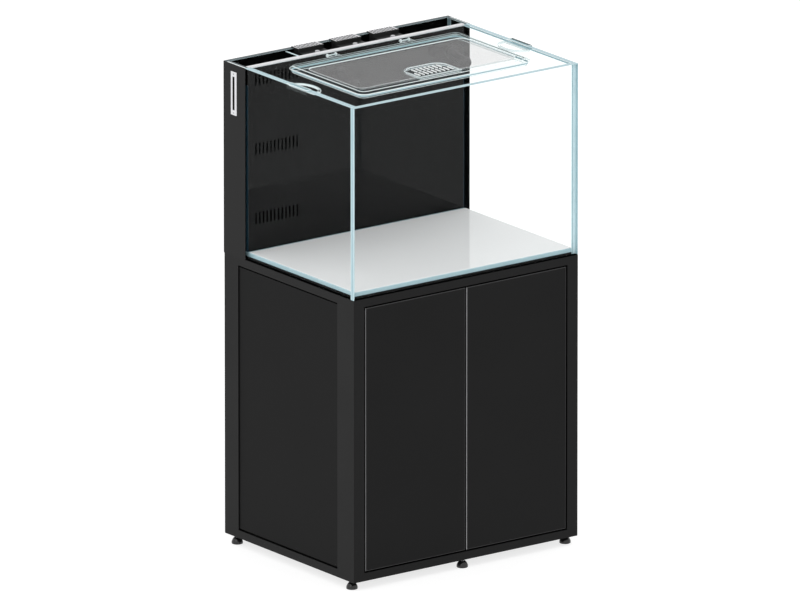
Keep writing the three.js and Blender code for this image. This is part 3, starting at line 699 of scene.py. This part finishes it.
def make_clips():
    """Each clip hooks over a side pane: a bar outside, one inside, a top, and a ring under the cover."""
    wall = INNER - 0.3
    reach = wall - (HALF - CLIP_REACH) - 1
    y0, y1 = CLIP_MIDDLE - CLIP_BAR_HALF, CLIP_MIDDLE + CLIP_BAR_HALF
    for side, sign in (("left", -1), ("right", 1)):
        start = sign * (wall - 1)
        inward = -sign
        outer = lambda by: arch(start + inward * by, inward, reach - 2 * by, CLIP_HALF_LENGTH - by)
        inner = lambda by: arch(start + inward * (5 + by), inward, reach - 11 - 2 * by,
                                CLIP_HALF_LENGTH - 8 - by)
        ring = ring_plate("ring", outer, inner, CLIP_LOW, COVER_LOW - 0.2, 0.9,
                          [PLASTIC_WALL, PLASTIC_EDGE, PLASTIC_EDGE])
        span = lambda a, b: (a, b) if sign > 0 else (-b, -a)
        top = plate("top", (*span(wall - 2, CLIP_OVERHANG), y0, y1), RIM + 0.2, RIM + 2.2, 1.2, 0.7,
                    [PLASTIC_WALL, PLASTIC_EDGE, PLASTIC_EDGE])
        # Painted shade: the right clip's outer bar takes the shadow tone on its sides and rounded edges; the
        # left one stays clear.
        bar_tone = PLASTIC_DARK if sign > 0 else PLASTIC_WALL
        bar = plate("bar", (*span(HALF + 0.2, CLIP_OVERHANG), y0, y1), RIM - 9, RIM + 1.5, 0.8, 0.6,
                    [PLASTIC_WALL, bar_tone, bar_tone])
        inside = plate("inside", (*span(wall - 2, wall), y0, y1), CLIP_LOW, RIM + 1.5, 0.8, 0.6,
                       [PLASTIC_WALL, PLASTIC_WALL, PLASTIC_EDGE])
        clip = joined(f"cover_clip_{side}", [ring, top, bar, inside])
        keep(clip, "stand_and_tank", "clear_plastic", f"clip_{side}")


def make_hatch():
    """A frame of one closed profile, the sunk panel, the feed flap's bezel, and arms on hinge pins."""
    lip = lambda by: inset(HATCH, HATCH_CORNER, by)
    pane = lambda by: inset(PANEL, PANEL_CORNER, by)
    # Slot 3, on one band of the frame's top, is the shadow tone: painted shade.
    stations = [
        (lip(0.4), RIM + 0.3, 1), (lip(0), RIM + 0.8, 1), (lip(0), RIM + 2.2, 1), (lip(0.7), RIM + 2.8, 0),
        (lip(5.4), RIM + 2.8, 0), (lip(6), RIM + 3.3, 0), (lip(6.1), RIM + 6.4, 1), (lip(6.5), RIM + 7.2, 1),
        (lip(7.6), HATCH_TOP, 0), (lip(12.5), HATCH_TOP, 3), (lip(14.5), HATCH_TOP - 0.8, 0),
        (pane(-3), HATCH_TOP - 0.8, 1), (pane(-1.2), HATCH_TOP - 0.9, 1), (pane(-0.2), HATCH_TOP - 1.8, 0),
        (pane(0), PANEL_Z[1], 0), (pane(0), PANEL_Z[0], 0), (pane(-2.5), PANEL_Z[0], 0),
        (pane(-3), HATCH_TOP - 2.8, 0), (lip(14.5), HATCH_TOP - 2.8, 0), (lip(8.6), HATCH_TOP - 2.5, 0),
        (lip(8.5), RIM - 7.3, 1), (lip(6.2), RIM - 7.5, 1), (lip(6), RIM - 6.8, 0), (lip(6), RIM + 0.3, 0),
    ]
    rings = [[(x, y, z) for x, y in shape] for shape, z, _ in stations]
    frame_mesh = loft("frame", rings, [s for _, _, s in stations],
                      [PLASTIC_WALL, PLASTIC_EDGE, RIB_CLEAR, PLASTIC_DARK], closed=True)
    parts = [frame_mesh, frosted_panel(), flap_bezel()]
    for sign in (-1, 1):
        for arm in (-1, 1):
            a = sign * HINGE_X + arm * ARM_SPREAD - ARM_WIDTH / 2
            arm_rect = (a, a + ARM_WIDTH, HATCH[3] - 9, HINGE_Y + 2)
            parts.append(plate("arm", arm_rect, RIM + 2.8, HINGE_Z + 2.2, 0.8, 0.5,
                               [PLASTIC_WALL, PLASTIC_WALL, PLASTIC_EDGE]))
            parts.append(turned("eye", EYE_PROFILE, (a, HINGE_Y, HINGE_Z), [PLASTIC_EDGE], None, 24, "X"))
        middle = (sign * HINGE_X, HINGE_Y, HINGE_Z)
        parts.append(turned("pin", PIN_PROFILE, middle, [PLASTIC_EDGE], None, 16, "X"))
    keep(joined("hatch", parts), "hatch", "clear_plastic", "hatch_lid")


def flap_shape(grow, steps=10):
    """The flap's outline, straight in front and with round corners behind, grown outwards."""
    x = FLAP_HALF + grow
    y0, y1 = FLAP_Y[0] - grow, FLAP_Y[1] + grow
    r = FLAP_CORNER + grow
    points = [(-x, y0), (x, y0)]
    for cx, start in ((x - r, 0), (-x + r, 90)):
        for i in range(steps + 1):
            angle = math.radians(start + 90 * i / steps)
            points.append((cx + r * math.cos(angle), y1 - r + r * math.sin(angle)))
    return points


def frosted_panel():
    """The sunk panel, with a notch in its front edge where the feed opening comes in."""
    x0, x1, y0, y1 = PANEL
    border = inset(PANEL, PANEL_CORNER, -0.3)
    notch = [p for p in flap_shape(BEZEL - 0.6) if p[1] > y0]
    reach = max(p[0] for p in notch)
    front_left = [p for p in border if p[1] <= y0 + PANEL_CORNER and p[0] < 0]
    right_up = [p for p in border if not (p[1] <= y0 + PANEL_CORNER and p[0] < 0)]
    loop = [(reach, y0 - 0.3)] + right_up + front_left + [(-reach, y0 - 0.3)] + list(reversed(notch))
    rings = [[(x, y, z) for x, y in loop] for z in (PANEL_Z[0] + 0.1, PANEL_Z[1])]
    made = loft("frosted", rings, [0], [FROSTED, FROSTED], caps=(1, 1))
    bm = bmesh.new()
    bm.from_mesh(made.data)
    bmesh.ops.triangulate(bm, faces=[f for f in bm.faces if len(f.verts) > 4])
    bm.to_mesh(made.data)
    bm.free()
    return made


def flap_bezel():
    outer = lambda by: flap_shape(BEZEL - by)
    inner = lambda by: flap_shape(-by)
    return ring_plate("bezel", outer, inner, PANEL_Z[0], HATCH_TOP, 1.2,
                      [PLASTIC_WALL, PLASTIC_WALL, PLASTIC_EDGE])


def make_flap_ribs():
    """Two rows of raised ribs on the feed flap, brighter than the sheet under them."""
    y = FLAP_Y[0]
    front_row, rear_row = (10.7, 32.3), (36.7, 57.8)
    parts = []
    for i in range(RIB_COUNT):
        x = RIB_PITCH * (i - (RIB_COUNT - 1) / 2)
        rows = [front_row] if i in (0, RIB_COUNT - 1) else [front_row, rear_row]
        for a, b in rows:
            parts.append(plate("rib", (x - 1.3, x + 1.3, y + a, y + b), RIM + 5, RIM + 7.7, 1, 0.6,
                               [RIB_CLEAR] * 3))
    keep(joined("flap_ribs", parts), "feed_flap", "clear_plastic")


def dress_flap_and_brackets():
    repaint("feed_flap", PLASTIC_WALL, PLASTIC_EDGE)
    soften("feed_flap", 0.35, 1)
    for side in ("left", "right"):
        repaint(f"hinge_bracket_{side}", PLASTIC_WALL, PLASTIC_EDGE)
        soften(f"hinge_bracket_{side}", 0.5, 1)


dress_stand()
make_doors()
make_feet()
make_panes()
dress_chamber()
make_bezel_screws()
make_divider_highlight()
make_basket_grids()
make_cover_plate()
make_clips()
make_hatch()
make_flap_ribs()
dress_flap_and_brackets()


# ---------------------------------------------------------------- stage
def floor_material():
    """White studio floor. About two thirds of its brightness is its own, so contact shadows stay light."""
    mat = solid_material("floor_white", (0.35, 0.35, 0.35), (0.36, 0.36, 0.36), (0.8, 0.85), 1,
                         specular=0.05)
    shader = mat.node_tree.nodes["Principled BSDF"]
    shader.inputs["Emission Color"].default_value = (1, 1, 1, 1)
    shader.inputs["Emission Strength"].default_value = 0.76
    return mat


def make_stage():
    mesh = bpy.data.meshes.new("floor")
    bm = bmesh.new()
    bmesh.ops.create_grid(bm, x_segments=2, y_segments=2, size=14)
    bm.to_mesh(mesh)
    bm.free()
    floor = bpy.data.objects.new("floor", mesh)
    bpy.context.scene.collection.objects.link(floor)
    mesh.materials.append(floor_material())
    world = bpy.data.worlds.new("studio")
    bpy.context.scene.world = world
    world.use_nodes = True
    background = world.node_tree.nodes["Background"]
    background.inputs["Color"].default_value = (1, 1, 1, 1)
    background.inputs["Strength"].default_value = 1.08


def area_light(name, place, target, size, power):
    data = bpy.data.lights.new(name, "AREA")
    data.shape = "RECTANGLE"
    data.size = size[0]
    data.size_y = size[1]
    data.energy = power
    light = bpy.data.objects.new(name, data)
    bpy.context.scene.collection.objects.link(light)
    light.location = place
    direction = Vector(target) - Vector(place)
    light.rotation_euler = direction.to_track_quat("-Z", "Y").to_euler()


make_stage()
area_light("key", (-3.4, -1.2, 2.8), (0, 0, 0.6), (2.2, 2.2), 15)
